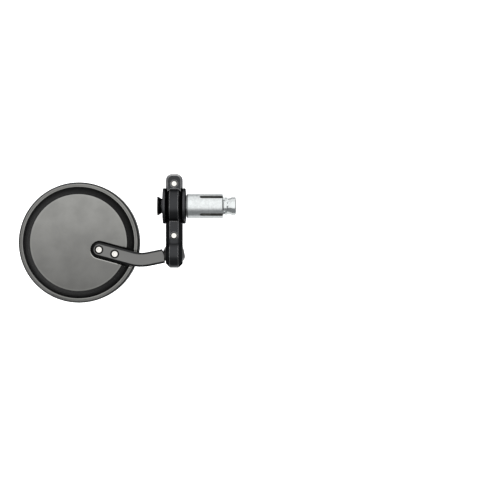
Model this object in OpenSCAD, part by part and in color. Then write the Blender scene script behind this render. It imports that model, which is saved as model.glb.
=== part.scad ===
// Bar end mirror for a motorcycle: a round mirror on a cranked arm, a ball
// joint, a split link that turns on the bar end, and an expanding sleeve that
// is drawn tight inside the handlebar tube.
// +X runs into the handlebar, +Z is up, and the glass faces +Y. The origin is
// on the sleeve's axis, where its full diameter begins at the shoulder.

/* [Mirror] */
// Outer diameter of the housing
mirror_d = 80; // [76:0.5:88]
// Depth of the housing from the rim land to its front edge
housing_depth = 12; // [11.5:0.5:15]
// Centre of the mirror, measured from the origin along X
mirror_x = -72.4; // [-76:0.1:-72]
// Centre of the mirror, measured from the origin along Z
mirror_z = -24.2; // [-26:0.1:-22]
// Width of the rim between the back groove and the outside
rim_w = 3.1; // [2.6:0.1:4]
// Width of the groove that runs round the back
groove_w = 4.4; // [3.8:0.1:5.2]
// Depth of that groove below the rim land
groove_depth = 3.8; // [3:0.1:4.4]
// Height of the flat back above the rim land
back_rise = 1; // [0.4:0.1:2]
// Wall of the housing under its flat back
back_wall = 2.2; // [1.6:0.1:2.8]
// Wall outside the glass
rim_wall = 2.2; // [1.8:0.1:2.6]
// Width of the ledge that the glass backing rests on
ledge_w = 6; // [4.5:0.1:8]

/* [Glass] */
// Thickness of the glass
glass_t = 2; // [1.5:0.1:3]
// Radius of the convex glass surface
glass_curve_r = 1000; // [600:50:1400]
// Thickness of the foam backing
backing_t = 0.8; // [0.5:0.1:1.5]
// Width of the rubber ring round the glass
gasket_w = 1.2; // [0.8:0.1:2]
// Width of the ring's lip over the glass
gasket_lip = 1.2; // [0.5:0.1:2.5]
// Thickness of that lip
gasket_lip_t = 0.6; // [0.4:0.1:0.8]

/* [Arm] */
// Width of the arm
arm_w = 9.4; // [8.6:0.1:10.4]
// Thickness of the arm
arm_t = 6.5; // [5.5:0.1:7.5]
// Chamfer along the arm's edges
arm_chamfer = 1.35; // [0.6:0.05:1.8]
// Radius of the arm's bend, at its centreline
arm_bend_r = 24; // [18:1:28]
// Centre of the arm's round end along X, where the first screw sits
arm_end_x = -58.6; // [-60:0.1:-57]
// Centre of the arm's round end along Z
arm_end_z = -28.9; // [-30:0.1:-28]
// Slope of the arm where it lies in the housing, downwards to the link
arm_drop = 15.1; // [12:0.1:18]
// Slope of the arm at the ball, upwards to the link
arm_rise = 11.5; // [8:0.1:14]
// Distance between the two arm screws
arm_screw_gap = 10.8; // [9:0.1:12]
// Gap between the arm and the wall of its pocket
pocket_gap = 1.15; // [0.6:0.05:1.6]
// Wall round the pocket inside the housing
pocket_wall = 2; // [1.5:0.1:3]

/* [Ball joint] */
// Diameter of the ball
ball_d = 15.2; // [14.6:0.1:15.8]
// Distance from the ball's centre to each of its flats
ball_flat = 6.55; // [6.4:0.05:6.8]
// Clearance between the ball and its socket
ball_clearance = 0.15; // [0.1:0.01:0.2]
// Diameter of the arm's stub through the ball
stub_d = 5; // [4:0.1:5.6]
// Height of the ball's centre along Z
ball_z = -31.6; // [-33:0.1:-31]

/* [Link] */
// Width of the link along the bar
link_w = 11; // [10.4:0.1:12]
// Thickness of the link across its split
link_t = 11.6; // [11:0.1:12.6]
// How far the link's ring lies inside the rims of the flanges beside it
ring_inset = 0.1; // [0:0.05:0.5]
// Outer diameter of the link's eye round the ball
eye_d = 18.5; // [18:0.1:19.5]
// Chamfer along the link's edges
link_chamfer = 2.65; // [1.2:0.05:2.8]
// Height of the ear's top above the bar's axis
ear_top = 21.15; // [20:0.1:23]
// Thickness of the ear across its split
ear_t = 6.4; // [5.6:0.1:8]
// Corner radius of the ear
ear_corner_r = 4.2; // [2:0.1:5]
// Chamfer round the ear's faces
ear_chamfer = 1.2; // [0.5:0.1:1.6]
// Width of the split
split_w = 1.2; // [0.6:0.1:1.6]
// Height of the ring screw above the bar's axis
ring_screw_z = 14.6; // [14.2:0.1:16]
// Height of the socket screw, below the bar's axis
socket_screw_z = -19.6; // [-20.4:0.1:-18.5]

/* [Bar end] */
// Diameter of the hub that the ring turns on
hub_d = 15.8; // [15.6:0.1:17.6]
// Diameter of the flanges beside the ring
flange_d = 23.5; // [21:0.1:26]
// Thickness of each flange
flange_t = 1.9; // [1.4:0.1:2.4]
// Thickness of the tapered spacer
spacer_t = 1; // [0.8:0.1:2]
// Rim diameter of the flared cup
cup_d = 12.7; // [12.4:0.1:14]
// Neck diameter of the flared cup
cup_neck_d = 9.6; // [9.4:0.1:10.8]
// Depth of the flared cup
cup_depth = 3.7; // [3.5:0.1:5]

/* [Sleeve and wedge] */
// Outer diameter of the expanding sleeve
sleeve_d = 16.6; // [16:0.1:18.4]
// Length of the sleeve's full diameter
sleeve_len = 22.7; // [20:0.1:26]
// Bevel at each end of the sleeve
sleeve_bevel = 0.5; // [0.3:0.1:0.8]
// Length of the sleeve's solid end
sleeve_solid = 6.5; // [5:0.1:8]
// Length of the sleeve's slots
slot_len = 15.1; // [12:0.1:16]
// Width of the sleeve's slots
slot_w = 2.4; // [1.8:0.1:3]
// Diameter of the sleeve's bore at its mouth
mouth_d = 12.4; // [12.2:0.1:12.8]
// Diameter of the sleeve's bore behind the taper
chamber_d = 10.4; // [9.8:0.1:10.8]
// Length of the tapered mouth
taper_len = 6.1; // [5:0.1:8]
// How far the wedge is drawn in
wedge_travel = 2.5; // [1.5:0.1:2.5]
// Diameter of the wedge's outer end
wedge_d = 12.2; // [12:0.1:13]
// Width of the wedge's keys
key_w = 2; // [1.4:0.1:2.2]

/* [Fasteners] */
// Thread diameter of the expander bolt
bolt_d = 6; // [5:0.5:6]
// Head diameter of the expander bolt
bolt_head_d = 11.2; // [10.8:0.1:11.4]
// Thread diameter of the two clamp screws
clamp_screw_d = 4; // [3:0.5:4]
// Head diameter of the two clamp screws
clamp_head_d = 7; // [6:0.1:7.4]
// Head height of the two clamp screws
clamp_head_h = 2.8; // [2:0.1:3]
// Thread diameter of the two arm screws
arm_screw_d = 2.5; // [2:0.5:3]
// Head diameter of the two arm screws
arm_head_d = 4.3; // [4:0.1:4.6]
// Head height of the two arm screws
arm_head_h = 2.4; // [2:0.1:2.6]
// Running clearance on radius between a shaft and its hole
running = 0.05; // [0.02:0.01:0.09]

/* [Hidden] */
$fn = 96;
// Small overlap that lets a cut pass clean through a face
eps = 0.02;

// Colours
satin_black = [0.23, 0.23, 0.23];
deep_black = [0.1, 0.1, 0.11];
steel = [0.8, 0.81, 0.8];
grey_anodised = [0.4, 0.4, 0.39];
zinc = [0.85, 0.87, 0.87];
silvered = [0.9, 0.93, 0.95];
rubber = [0.07, 0.07, 0.07];
foam = [0.3, 0.3, 0.3];

// Gap at which a piece lies against its seat
fit = 0.02;

// Housing heights, counted from the bar's axis plane towards the back
back_h = 0;
land_h = back_h - back_rise;
groove_h = land_h - groove_depth;
front_h = land_h - housing_depth;
mirror_r = mirror_d / 2;
groove_r_out = mirror_r - rim_w;
groove_r_in = groove_r_out - groove_w;
rim_land_w = 1.1;
rim_round = rim_w - rim_land_w;
// Fine step between the rim's flat land and its rounded bead
bead_drop = 0.2;
bead_h = land_h - bead_drop - rim_round;
recess_r = mirror_r - rim_wall;
glass_r = recess_r - gasket_w;
cavity_r = glass_r - ledge_w;
front_bevel = 0.6;
gasket_inset = 0.3;
glass_edge_h = front_h + gasket_inset + gasket_lip_t;
glass_sag = glass_curve_r - sqrt(glass_curve_r * glass_curve_r - glass_r * glass_r);
glass_lip_r = glass_r - gasket_lip;
// How much further forward the curved glass is under the lip than at its edge
lip_sag = sqrt(glass_curve_r * glass_curve_r - glass_lip_r * glass_lip_r)
    - sqrt(glass_curve_r * glass_curve_r - glass_r * glass_r);
lip_h = glass_edge_h - lip_sag - fit;
glass_back_h = glass_edge_h + glass_t;
ledge_h = glass_back_h + backing_t;
back_inside_h = back_h - back_wall;

// Bar end stack, from the sleeve outwards
sleeve_r = sleeve_d / 2;
sleeve_x0 = -sleeve_bevel;
sleeve_x1 = sleeve_len + sleeve_bevel;
spacer_x0 = sleeve_x0 - spacer_t;
inner_flange_x0 = spacer_x0 - flange_t;
link_side_gap = 0.1;
hub_len = link_w + 2 * link_side_gap;
hub_r = hub_d / 2;
hub_x0 = inner_flange_x0 - hub_len;
outer_flange_x0 = hub_x0 - flange_t;
link_x1 = inner_flange_x0 - link_side_gap;
link_x0 = link_x1 - link_w;
link_mid = link_x0 + link_w / 2;
cup_x0 = outer_flange_x0 - cup_depth;
bolt_r = bolt_d / 2;
bolt_bore_r = bolt_r + running;
flange_round = 0.5;
spacer_r0 = sleeve_r - 2.5;
spacer_r1 = sleeve_r - 1.4;
cup_r = cup_d / 2;
cup_neck_r = cup_neck_d / 2;
cup_neck_len = 0.9;
bolt_head_r = bolt_head_d / 2;
bolt_head_inset = 0.5;
bolt_head_edge = 0.3;
bolt_bevel = 0.6;
bolt_hex = 4;
bolt_hex_depth = 2.4;
cup_play = 0.15;
bolt_cone_len = bolt_head_r - bolt_r;

// Link
link_h = link_t / 2;
ring_r = flange_d / 2 - ring_inset;
ear_h = ear_t / 2;
eye_r = eye_d / 2;
ring_bore_r = hub_r + running;
clamp_screw_r = clamp_screw_d / 2;
clamp_head_r = clamp_head_d / 2;
head_room = 0.2;
screw_mouth_r = clamp_screw_r + 0.45;
screw_mouth_depth = 0.5;
tip_inset = 0.15;
screw_play = 0.25;
clamp_hex = 2.5;
clamp_hex_depth = 1.6;
// How deep each clamp screw's head sits: all of it in the stem, a part of it in the ear
socket_head_sink = clamp_head_h + head_room;
ring_head_sink = 1;

// Arm places. The arm runs straight down, bends, and runs straight up to the ball
arm_h = arm_t / 2;
arm_r = arm_w / 2;
ball_x = link_mid;
run_x = ball_x - arm_end_x;
run_z = ball_z - arm_end_z;
bend_turn = arm_drop + arm_rise;
bend_steps = 16;
corner_x = (run_x * tan(arm_rise) - run_z) / (tan(arm_drop) + tan(arm_rise));
bend_tangent = arm_bend_r * tan(bend_turn / 2);
drop_len = corner_x / cos(arm_drop) - bend_tangent;
rise_len = (run_x - corner_x) / cos(arm_rise) - bend_tangent;
pocket_r = arm_r + pocket_gap;
pocket_len = mirror_d;
arm_screw_play = 0.15;
arm_head_play = 0.6;
arm_head_inset = 0.5;
screw_bore_floor = 0.6;
// Hexagon sockets of the small screws
small_hex = 2;
small_hex_depth = 1.1;

// Ball joint, measured along the arm from the ball's centre
ball_r = ball_d / 2;
socket_r = ball_r + ball_clearance;
stub_r = stub_d / 2;
neck_face = ball_flat + 0.1;
neck_r = 3.2;
neck_end = neck_face + 0.25;
shoulder_end = neck_face + 1.15;
shoulder_r = norm([arm_r, arm_h]) + 0.2;
end_screw_head_r = stub_r + 0.45;
end_screw_head_h = 1.6;
end_screw_r = 1.25;
end_screw_sink = 0.2;
end_screw_play = 0.1;
end_pocket_floor = ball_flat - end_screw_sink - end_screw_head_h - end_screw_play;
stub_end = end_pocket_floor + end_screw_play;
end_screw_depth = 6;

// Taper of the sleeve's mouth and of the wedge that is drawn into it
mouth_r = mouth_d / 2;
chamber_r = chamber_d / 2;
taper = (mouth_r - chamber_r) / taper_len;
taper_gap = taper * wedge_travel + 0.09;
wedge_inner_len = 8;
waist_depth = 1.1;
flat_rise = 0.45;
key_rise = 0.3;
key_inset = 1;
wedge_collar_len = 2.5;
wedge_waist_len = 0.2;
wedge_flare_len = 3.1;
wedge_end_len = 2.8;
wedge_x0 = sleeve_x1 - wedge_inner_len;
collar_x1 = sleeve_x1 + wedge_collar_len;
flare_x0 = collar_x1 + wedge_waist_len;
flare_x1 = flare_x0 + wedge_flare_len;
wedge_x1 = flare_x1 + wedge_end_len;
waist_r = wedge_d / 2 - waist_depth;
key_r = mouth_r + key_rise;
bolt_end_inset = 1.7;
bolt_end_x = wedge_x1 - bolt_end_inset;

function wedge_r(x) = mouth_r - taper_gap - (sleeve_x1 - x) * taper;

// Turns a shape built along +Z so that it runs along +X
module along_bar(x = 0) {
    translate([x, 0, 0]) rotate([0, 90, 0]) children();
}

// Turns a shape drawn in X and Y so that it faces the back, towards -Y
module face_back() {
    rotate([90, 0, 0]) children();
}

// A turned solid along the bar from a list of [x, radius] points
module turned(points) {
    along_bar() rotate_extrude()
        polygon([for (p = points) [p[1], p[0]]]);
}

// Corners of a bar shape with bevelled edges, drawn round its centre
function bevelled_points(w, t, c) = [
    [-w / 2, -t / 2 + c], [-w / 2 + c, -t / 2],
    [w / 2 - c, -t / 2], [w / 2, -t / 2 + c],
    [w / 2, t / 2 - c], [w / 2 - c, t / 2],
    [-w / 2 + c, t / 2], [-w / 2, t / 2 - c]
];

module bevelled_section(w, t, c) {
    polygon(bevelled_points(w, t, c));
}

// Hexagon socket, cut down from height z
module hex_socket(across, depth, z) {
    translate([0, 0, z - depth])
        cylinder(h = depth + eps, r = across / sqrt(3), $fn = 6);
}

// Frame of the mirror: its centre, with heights running towards the back
module at_mirror() {
    translate([mirror_x, 0, mirror_z]) face_back() children();
}

// Frame of the arm: its round end, with X along the part in the pocket
module at_arm() {
    translate([arm_end_x, 0, arm_end_z]) face_back() rotate(-arm_drop) children();
}

// Frame of the arm's upper stretch: the ball's centre, with X along the arm
module at_ball() {
    translate([ball_x, 0, ball_z]) rotate([0, -arm_rise, 0]) children();
}

// Slot outline that the arm lies in, grown outwards by a wall
module pocket_outline(grow = 0) {
    circle(r = pocket_r + grow);
    translate([0, -pocket_r - grow]) square([pocket_len, 2 * (pocket_r + grow)]);
}

// Half section between the axis and the glass edge, under one curved face
module under_glass_curve(offset_h) {
    curve_h = glass_edge_h - glass_sag + glass_curve_r;
    intersection() {
        translate([0, curve_h]) circle(r = glass_curve_r - offset_h, $fn = 720);
        translate([0, front_h - glass_t]) square([glass_r, housing_depth]);
    }
}

module mirror_glass() {
    color(silvered) at_mirror() rotate_extrude() difference() {
        under_glass_curve(0);
        under_glass_curve(glass_t);
    }
}

module glass_backing() {
    color(foam) at_mirror() translate([0, 0, glass_back_h])
        cylinder(h = backing_t, r = glass_r);
}

module glass_gasket() {
    color(rubber) at_mirror() rotate_extrude() union() {
        translate([glass_r + fit, lip_h - gasket_lip_t])
            square([gasket_w - 2 * fit, ledge_h - lip_h + gasket_lip_t]);
        translate([glass_lip_r, lip_h - gasket_lip_t])
            square([gasket_lip + gasket_w / 2, gasket_lip_t]);
    }
}

// Half section of the housing: radius across, height up
module housing_section() {
    difference() {
        union() {
            translate([0, front_h]) square([mirror_r, bead_h - front_h]);
            translate([0, bead_h - eps])
                square([mirror_r - rim_round, land_h - bead_h + eps]);
            translate([mirror_r - rim_round, bead_h]) circle(r = rim_round);
            translate([0, land_h - eps]) square([groove_r_in, back_rise + eps]);
        }
        // Groove that falls from the raised back to the foot of the rim
        polygon([
            [groove_r_in, back_h], [groove_r_out, groove_h],
            [groove_r_out, back_h + 1], [groove_r_in, back_h + 1]
        ]);
        // Recess for the glass and the hollow behind it
        translate([-eps, front_h - eps]) square([recess_r + eps, ledge_h - front_h + eps]);
        // Bevels at the front edge
        polygon([
            [mirror_r + eps, front_h - eps], [mirror_r + eps, front_h + front_bevel],
            [mirror_r - front_bevel, front_h - eps]
        ]);
        translate([-mirror_d, front_h - mirror_d]) square([mirror_d, 3 * mirror_d]);
    }
}

module housing() {
    screw_bore_r = arm_screw_d / 2 + fit;
    color(satin_black) difference() {
        at_mirror() rotate_extrude() housing_section();
        // Hollow behind the glass, which leaves a boss under the arm's pocket
        difference() {
            at_mirror() translate([0, 0, ledge_h - eps])
                cylinder(h = back_inside_h - ledge_h + eps, r = cavity_r);
            at_arm() translate([0, 0, front_h]) linear_extrude(housing_depth + back_rise)
                pocket_outline(pocket_wall);
        }
        at_arm() translate([0, 0, -arm_h]) linear_extrude(mirror_d) pocket_outline();
        for (i = [0, 1])
            at_arm() translate([i * arm_screw_gap, 0, ledge_h + screw_bore_floor])
                cylinder(h = mirror_d, r = screw_bore_r);
    }
}

module arm() {
    color(grey_anodised) difference() {
        union() {
            difference() {
                at_arm() {
                    arm_sweep();
                    arm_round_end();
                }
                arm_shoulder();
            }
            at_ball() rotate([0, -90, 0]) {
                translate([0, 0, -stub_end]) cylinder(h = stub_end + neck_end, r = stub_r);
                translate([0, 0, neck_face]) cylinder(h = neck_end - neck_face + 1, r = neck_r);
            }
        }
        for (i = [0, 1]) at_arm() translate([i * arm_screw_gap, 0, 0]) {
            translate([0, 0, -arm_h - 1]) cylinder(h = arm_t + 2, r = arm_screw_d / 2 + arm_screw_play);
            translate([0, 0, arm_screw_seat()]) cylinder(h = arm_t, r = arm_head_d / 2 + arm_head_play);
        }
        at_ball() rotate([0, 90, 0]) translate([0, 0, stub_end - end_screw_depth])
            cylinder(h = end_screw_depth + 1, r = end_screw_r + fit);
    }
}

function arm_screw_seat() = arm_h - arm_head_h - arm_head_inset;

// Half round end of the arm, turned from half of its section
module arm_round_end() {
    rotate(90) rotate_extrude(angle = 180) intersection() {
        bevelled_section(arm_w, arm_t, arm_chamfer);
        translate([0, -arm_t]) square([arm_w, 2 * arm_t]);
    }
}

// Places along the arm as [x, y, direction]: its straight drop, its bend and its straight rise
function arm_places() = let (
    bend = [for (i = [0 : bend_steps]) let (turn = bend_turn * i / bend_steps)
        [drop_len + arm_bend_r * sin(turn), arm_bend_r * (1 - cos(turn)), turn]],
    last = bend[bend_steps]
) concat(
    [[0, 0, 0]], bend,
    [[last.x + rise_len * cos(bend_turn), last.y + rise_len * sin(bend_turn), bend_turn]]
);

// The arm's section carried along those places
module arm_sweep() {
    places = arm_places();
    section = bevelled_points(arm_w, arm_t, arm_chamfer);
    n = len(section);
    last = len(places) - 1;
    polyhedron(
        points = [for (p = places) for (q = section)
            [p.x - q.x * sin(p.z), p.y + q.x * cos(p.z), q.y]],
        faces = concat(
            [[for (k = [0 : n - 1]) k]],
            [[for (k = [n - 1 : -1 : 0]) last * n + k]],
            [for (i = [0 : last - 1]) for (k = [0 : n - 1]) let (next = (k + 1) % n)
                [i * n + k, (i + 1) * n + k, (i + 1) * n + next]],
            [for (i = [0 : last - 1]) for (k = [0 : n - 1]) let (next = (k + 1) % n)
                [i * n + k, (i + 1) * n + next, i * n + next]]
        )
    );
}

// What is turned away beside the ball, down to the neck and the shoulder
module arm_shoulder() {
    outside = shoulder_r + 2;
    at_ball() rotate([0, -90, 0]) rotate_extrude() polygon([
        [0, -outside], [0, neck_end], [neck_r, neck_end], [shoulder_r, shoulder_end],
        [outside, shoulder_end], [outside, -outside]
    ]);
}

module arm_screw(i) {
    seat = arm_screw_seat();
    tip = ledge_h + 2 * screw_bore_floor;
    color(steel) at_arm() translate([i * arm_screw_gap, 0, 0]) difference() {
        union() {
            translate([0, 0, seat]) cylinder(h = arm_head_h, r = arm_head_d / 2);
            translate([0, 0, tip]) cylinder(h = seat - tip + eps, r = arm_screw_d / 2);
        }
        hex_socket(small_hex, small_hex_depth, seat + arm_head_h);
    }
}

module arm_screw_end() {
    arm_screw(0);
}

module arm_screw_rim() {
    arm_screw(1);
}

module pivot_ball() {
    color(deep_black) at_ball() difference() {
        sphere(r = ball_r);
        for (side = [0, 180]) rotate([0, side, 0])
            translate([ball_flat, -ball_r, -ball_r]) cube(ball_d);
        rotate([0, 90, 0]) translate([0, 0, -ball_r]) cylinder(h = ball_d, r = stub_r + running);
        rotate([0, 90, 0]) translate([0, 0, end_pocket_floor])
            cylinder(h = ball_r, r = end_screw_head_r + end_screw_play);
    }
}

module ball_end_screw() {
    color(steel) at_ball() rotate([0, 90, 0]) translate([0, 0, stub_end]) difference() {
        union() {
            cylinder(h = end_screw_head_h, r = end_screw_head_r);
            translate([0, 0, end_screw_play - end_screw_depth])
                cylinder(h = end_screw_depth, r = end_screw_r);
        }
        hex_socket(small_hex, small_hex_depth, end_screw_head_h);
    }
}

// Disc along the bar with bevels on both edges, as wide as the link
module bevelled_disc(r, z) {
    translate([0, 0, z]) turned([
        [link_x0, 0], [link_x0, r - link_chamfer], [link_x0 + link_chamfer, r],
        [link_x1 - link_chamfer, r], [link_x1, r - link_chamfer], [link_x1, 0]
    ]);
}

// Disc that rounds one top corner of the ear, with both of its edges bevelled
module ear_corner(x) {
    translate([x, 0, ear_top - ear_corner_r]) face_back() rotate_extrude() polygon([
        [0, -ear_h], [ear_corner_r - ear_chamfer, -ear_h], [ear_corner_r, ear_chamfer - ear_h],
        [ear_corner_r, ear_h - ear_chamfer], [ear_corner_r - ear_chamfer, ear_h], [0, ear_h]
    ]);
}

module ear() {
    corner_z = ear_top - ear_corner_r;
    for (x = [link_x0 + ear_corner_r, link_x1 - ear_corner_r]) ear_corner(x);
    translate([link_mid, 0, 0]) linear_extrude(corner_z)
        bevelled_section(link_w, ear_t, ear_chamfer);
    // Top between the two corners
    translate([link_x0 + ear_corner_r, 0, corner_z]) rotate([90, 0, 90])
        linear_extrude(link_w - 2 * ear_corner_r)
            bevelled_section(ear_t, 2 * ear_corner_r, ear_chamfer);
}

// Hole through a part of the link with faces at a height h to both sides
module link_screw_hole(z, h, head_sink) {
    translate([link_mid, 0, z]) face_back() {
        translate([0, 0, -ring_r - 1]) cylinder(h = 2 * ring_r + 2, r = clamp_screw_r + fit);
        translate([0, 0, -ring_r - 1]) cylinder(h = ring_r + 1, r = clamp_screw_r + screw_play);
        translate([0, 0, -ring_r])
            cylinder(h = ring_r - h + head_sink, r = clamp_head_r + head_room);
        translate([0, 0, h - screw_mouth_depth])
            cylinder(h = screw_mouth_depth + eps, r1 = clamp_screw_r, r2 = screw_mouth_r);
    }
}

module link() {
    color(deep_black) difference() {
        union() {
            bevelled_disc(ring_r, 0);
            bevelled_disc(eye_r, ball_z);
            translate([link_mid, 0, ball_z]) linear_extrude(-ball_z)
                bevelled_section(link_w, link_t, link_chamfer);
            ear();
        }
        along_bar(link_x0 - 1) cylinder(h = link_w + 2, r = ring_bore_r);
        translate([ball_x, 0, ball_z]) sphere(r = socket_r);
        translate([link_x0 - 1, -split_w / 2, ball_z])
            cube([link_w + 2, split_w, ear_top - ball_z + 1]);
        link_screw_hole(ring_screw_z, ear_h, ring_head_sink);
        link_screw_hole(socket_screw_z, link_h, socket_head_sink);
    }
}

// Low headed screw: its head at the glass side, its bare end at the back
module clamp_screw(z, h, head_sink) {
    tip_bevel = 0.35;
    tip_h = h - tip_inset;
    head_floor = head_sink - h;
    color(steel) translate([link_mid, 0, z]) face_back() difference() {
        union() {
            translate([0, 0, head_floor - clamp_head_h])
                cylinder(h = clamp_head_h, r = clamp_head_r);
            translate([0, 0, head_floor - eps])
                cylinder(h = tip_h - tip_bevel - head_floor + eps, r = clamp_screw_r);
            translate([0, 0, tip_h - tip_bevel])
                cylinder(h = tip_bevel, r1 = clamp_screw_r, r2 = clamp_screw_r - tip_bevel);
        }
        rotate([180, 0, 0]) hex_socket(clamp_hex, clamp_hex_depth, clamp_head_h - head_floor);
    }
}

module ring_clamp_screw() {
    clamp_screw(ring_screw_z, ear_h, ring_head_sink);
}

module socket_clamp_screw() {
    clamp_screw(socket_screw_z, link_h, socket_head_sink);
}

// Flat disc with a rounded rim
module flange(x0) {
    color(deep_black) along_bar(x0) rotate_extrude() difference() {
        union() {
            square([flange_d / 2 - flange_round, flange_t]);
            translate([0, flange_round]) square([flange_d / 2, flange_t - 2 * flange_round]);
            for (z = [flange_round, flange_t - flange_round])
                translate([flange_d / 2 - flange_round, z]) circle(r = flange_round);
        }
        translate([-eps, -1]) square([bolt_bore_r + eps, flange_t + 2]);
    }
}

module outer_flange() {
    flange(outer_flange_x0);
}

module inner_flange() {
    flange(inner_flange_x0);
}

module clamp_hub() {
    color(steel) turned([
        [hub_x0, bolt_bore_r], [hub_x0, hub_r],
        [hub_x0 + hub_len, hub_r], [hub_x0 + hub_len, bolt_bore_r]
    ]);
}

module spacer_cone() {
    color(deep_black) turned([
        [spacer_x0, bolt_bore_r], [spacer_x0, spacer_r0],
        [sleeve_x0, spacer_r1], [sleeve_x0, bolt_bore_r]
    ]);
}

module expanding_sleeve() {
    slot_x0 = sleeve_x1 - slot_len;
    chamber_x0 = sleeve_x0 + sleeve_solid;
    color(zinc) difference() {
        turned([
            [sleeve_x0, bolt_bore_r], [sleeve_x0, sleeve_r - sleeve_bevel], [0, sleeve_r],
            [sleeve_len, sleeve_r], [sleeve_x1, sleeve_r - sleeve_bevel], [sleeve_x1, mouth_r],
            [sleeve_x1 - taper_len, chamber_r], [chamber_x0, chamber_r], [chamber_x0, bolt_bore_r]
        ]);
        for (turn = [45 : 90 : 315]) rotate([turn, 0, 0]) {
            translate([slot_x0 + slot_w / 2, -slot_w / 2, 0])
                cube([slot_len, slot_w, sleeve_d]);
            translate([slot_x0 + slot_w / 2, 0, 0]) cylinder(h = sleeve_d, r = slot_w / 2);
        }
    }
}

module wedge_nut() {
    flat_len = 2 * wedge_flare_len / 3;
    wedge_r1 = wedge_d / 2;
    color(zinc) difference() {
        union() {
            turned([
                [wedge_x0, 0], [wedge_x0, wedge_r(wedge_x0)], [collar_x1, wedge_r(collar_x1)],
                [collar_x1, waist_r], [flare_x0, waist_r], [flare_x1, wedge_r1],
                [wedge_x1 - sleeve_bevel, wedge_r1], [wedge_x1, wedge_r1 - sleeve_bevel],
                [wedge_x1, 0]
            ]);
            // Milled flats round the waist
            along_bar(collar_x1) cylinder(h = flat_len, r = waist_r + flat_rise, $fn = 8);
            // Keys that run in the sleeve's slots
            for (turn = [45 : 90 : 315]) rotate([turn, 0, 0])
                translate([wedge_x0, -key_w / 2, 0])
                    cube([collar_x1 - wedge_x0 - key_inset, key_w, key_r]);
        }
        along_bar(wedge_x0 - 1) cylinder(h = wedge_x1 - wedge_x0 + 2, r = bolt_bore_r);
    }
}

module cup_washer() {
    seat_x = cup_x0 + bolt_head_inset;
    lip = 0.5;
    color(deep_black) turned([
        [cup_x0 + cup_depth, bolt_bore_r], [cup_x0 + cup_depth, cup_neck_r],
        [cup_x0 + cup_depth - cup_neck_len, cup_neck_r], [cup_x0 + lip, cup_r], [cup_x0, cup_r],
        [cup_x0, bolt_head_r + cup_play], [seat_x + bolt_head_edge, bolt_head_r + cup_play],
        [seat_x + bolt_head_edge + bolt_cone_len + cup_play - running, bolt_bore_r]
    ]);
}

module expander_bolt() {
    head_x0 = cup_x0 + bolt_head_inset;
    color(steel) difference() {
        turned([
            [head_x0, 0], [head_x0, bolt_head_r], [head_x0 + bolt_head_edge, bolt_head_r],
            [head_x0 + bolt_head_edge + bolt_cone_len, bolt_r],
            [bolt_end_x - bolt_bevel, bolt_r], [bolt_end_x, bolt_r - bolt_bevel], [bolt_end_x, 0]
        ]);
        along_bar() rotate([180, 0, 0]) hex_socket(bolt_hex, bolt_hex_depth, -head_x0);
    }
}

mirror_glass();
glass_backing();
glass_gasket();
housing();
arm();
arm_screw_end();
arm_screw_rim();
pivot_ball();
ball_end_screw();
link();
ring_clamp_screw();
socket_clamp_screw();
outer_flange();
inner_flange();
clamp_hub();
spacer_cone();
expanding_sleeve();
wedge_nut();
cup_washer();
expander_bolt();
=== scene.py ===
import math

import bmesh
import bpy
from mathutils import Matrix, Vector


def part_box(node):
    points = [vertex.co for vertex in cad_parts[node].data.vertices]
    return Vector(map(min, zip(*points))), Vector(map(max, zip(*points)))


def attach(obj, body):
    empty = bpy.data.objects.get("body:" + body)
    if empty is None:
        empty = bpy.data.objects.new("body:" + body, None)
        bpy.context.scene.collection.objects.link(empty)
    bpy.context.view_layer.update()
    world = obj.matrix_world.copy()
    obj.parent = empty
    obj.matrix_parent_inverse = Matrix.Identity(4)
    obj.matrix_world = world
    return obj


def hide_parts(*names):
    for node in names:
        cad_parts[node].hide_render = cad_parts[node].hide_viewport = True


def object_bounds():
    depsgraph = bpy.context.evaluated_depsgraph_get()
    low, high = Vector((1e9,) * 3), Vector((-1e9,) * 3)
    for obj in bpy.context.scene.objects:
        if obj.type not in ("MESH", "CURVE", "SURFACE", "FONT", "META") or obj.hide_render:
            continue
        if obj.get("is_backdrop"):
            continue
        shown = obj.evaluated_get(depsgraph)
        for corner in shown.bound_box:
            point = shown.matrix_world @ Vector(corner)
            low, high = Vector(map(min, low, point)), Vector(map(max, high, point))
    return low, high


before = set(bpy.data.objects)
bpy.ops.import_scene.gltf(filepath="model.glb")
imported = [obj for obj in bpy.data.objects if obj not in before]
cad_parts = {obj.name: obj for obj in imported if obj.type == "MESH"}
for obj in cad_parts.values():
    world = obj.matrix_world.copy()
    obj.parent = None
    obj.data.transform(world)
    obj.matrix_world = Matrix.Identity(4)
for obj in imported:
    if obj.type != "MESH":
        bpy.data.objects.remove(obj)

bl_info = {
    "name": "Bar End Mirror Dresser",
    "version": (1, 0, 0),
    "blender": (4, 5, 0),
    "location": "3D View > Sidebar > Bar Mirror",
    "description": "Finishes the surfaces of a bar end mirror, cuts its bolt thread and sets up its studio",
    "category": "Object",
}

MM = 0.001
# Points nearer to each other than this are one point
WELD = 0.001 * MM
# Slack when a solid's points are sorted by place
SLACK = 0.01 * MM
# Half the width of the arm's pocket in the housing
POCKET_RADIUS = 5.85 * MM
# Depth of the grain on the blasted housing and arm
BLAST_DEPTH = 0.006 * MM
# Faces of a turned piece meet in a sharp edge above this angle
SHARP_ANGLE = math.radians(25)
# Faces round a turned piece
TURNED_STEPS = 128
# Darkest and lightest tone of the housing's matt black, in its hollows and round its side, where it is
# partly painted shade; it runs lighter towards the left side as painted light
MATT_BLACK_AND_SHADE = ((0.01, 0.01, 0.01), (0.036, 0.036, 0.036))
# Painted shade on the wedge inside the sleeve, and on the sleeve's inner faces
INNER_SHADE = (0.13, 0.127, 0.12, 1)
SLOT_SHADE_ZINC = (0.36, 0.355, 0.34, 1)
# Painted shade round the rims of the screws' ends
SCREW_RIM_SHADE = (0.04, 0.038, 0.034, 1)


# Sizes and colours that a user would change

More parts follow.
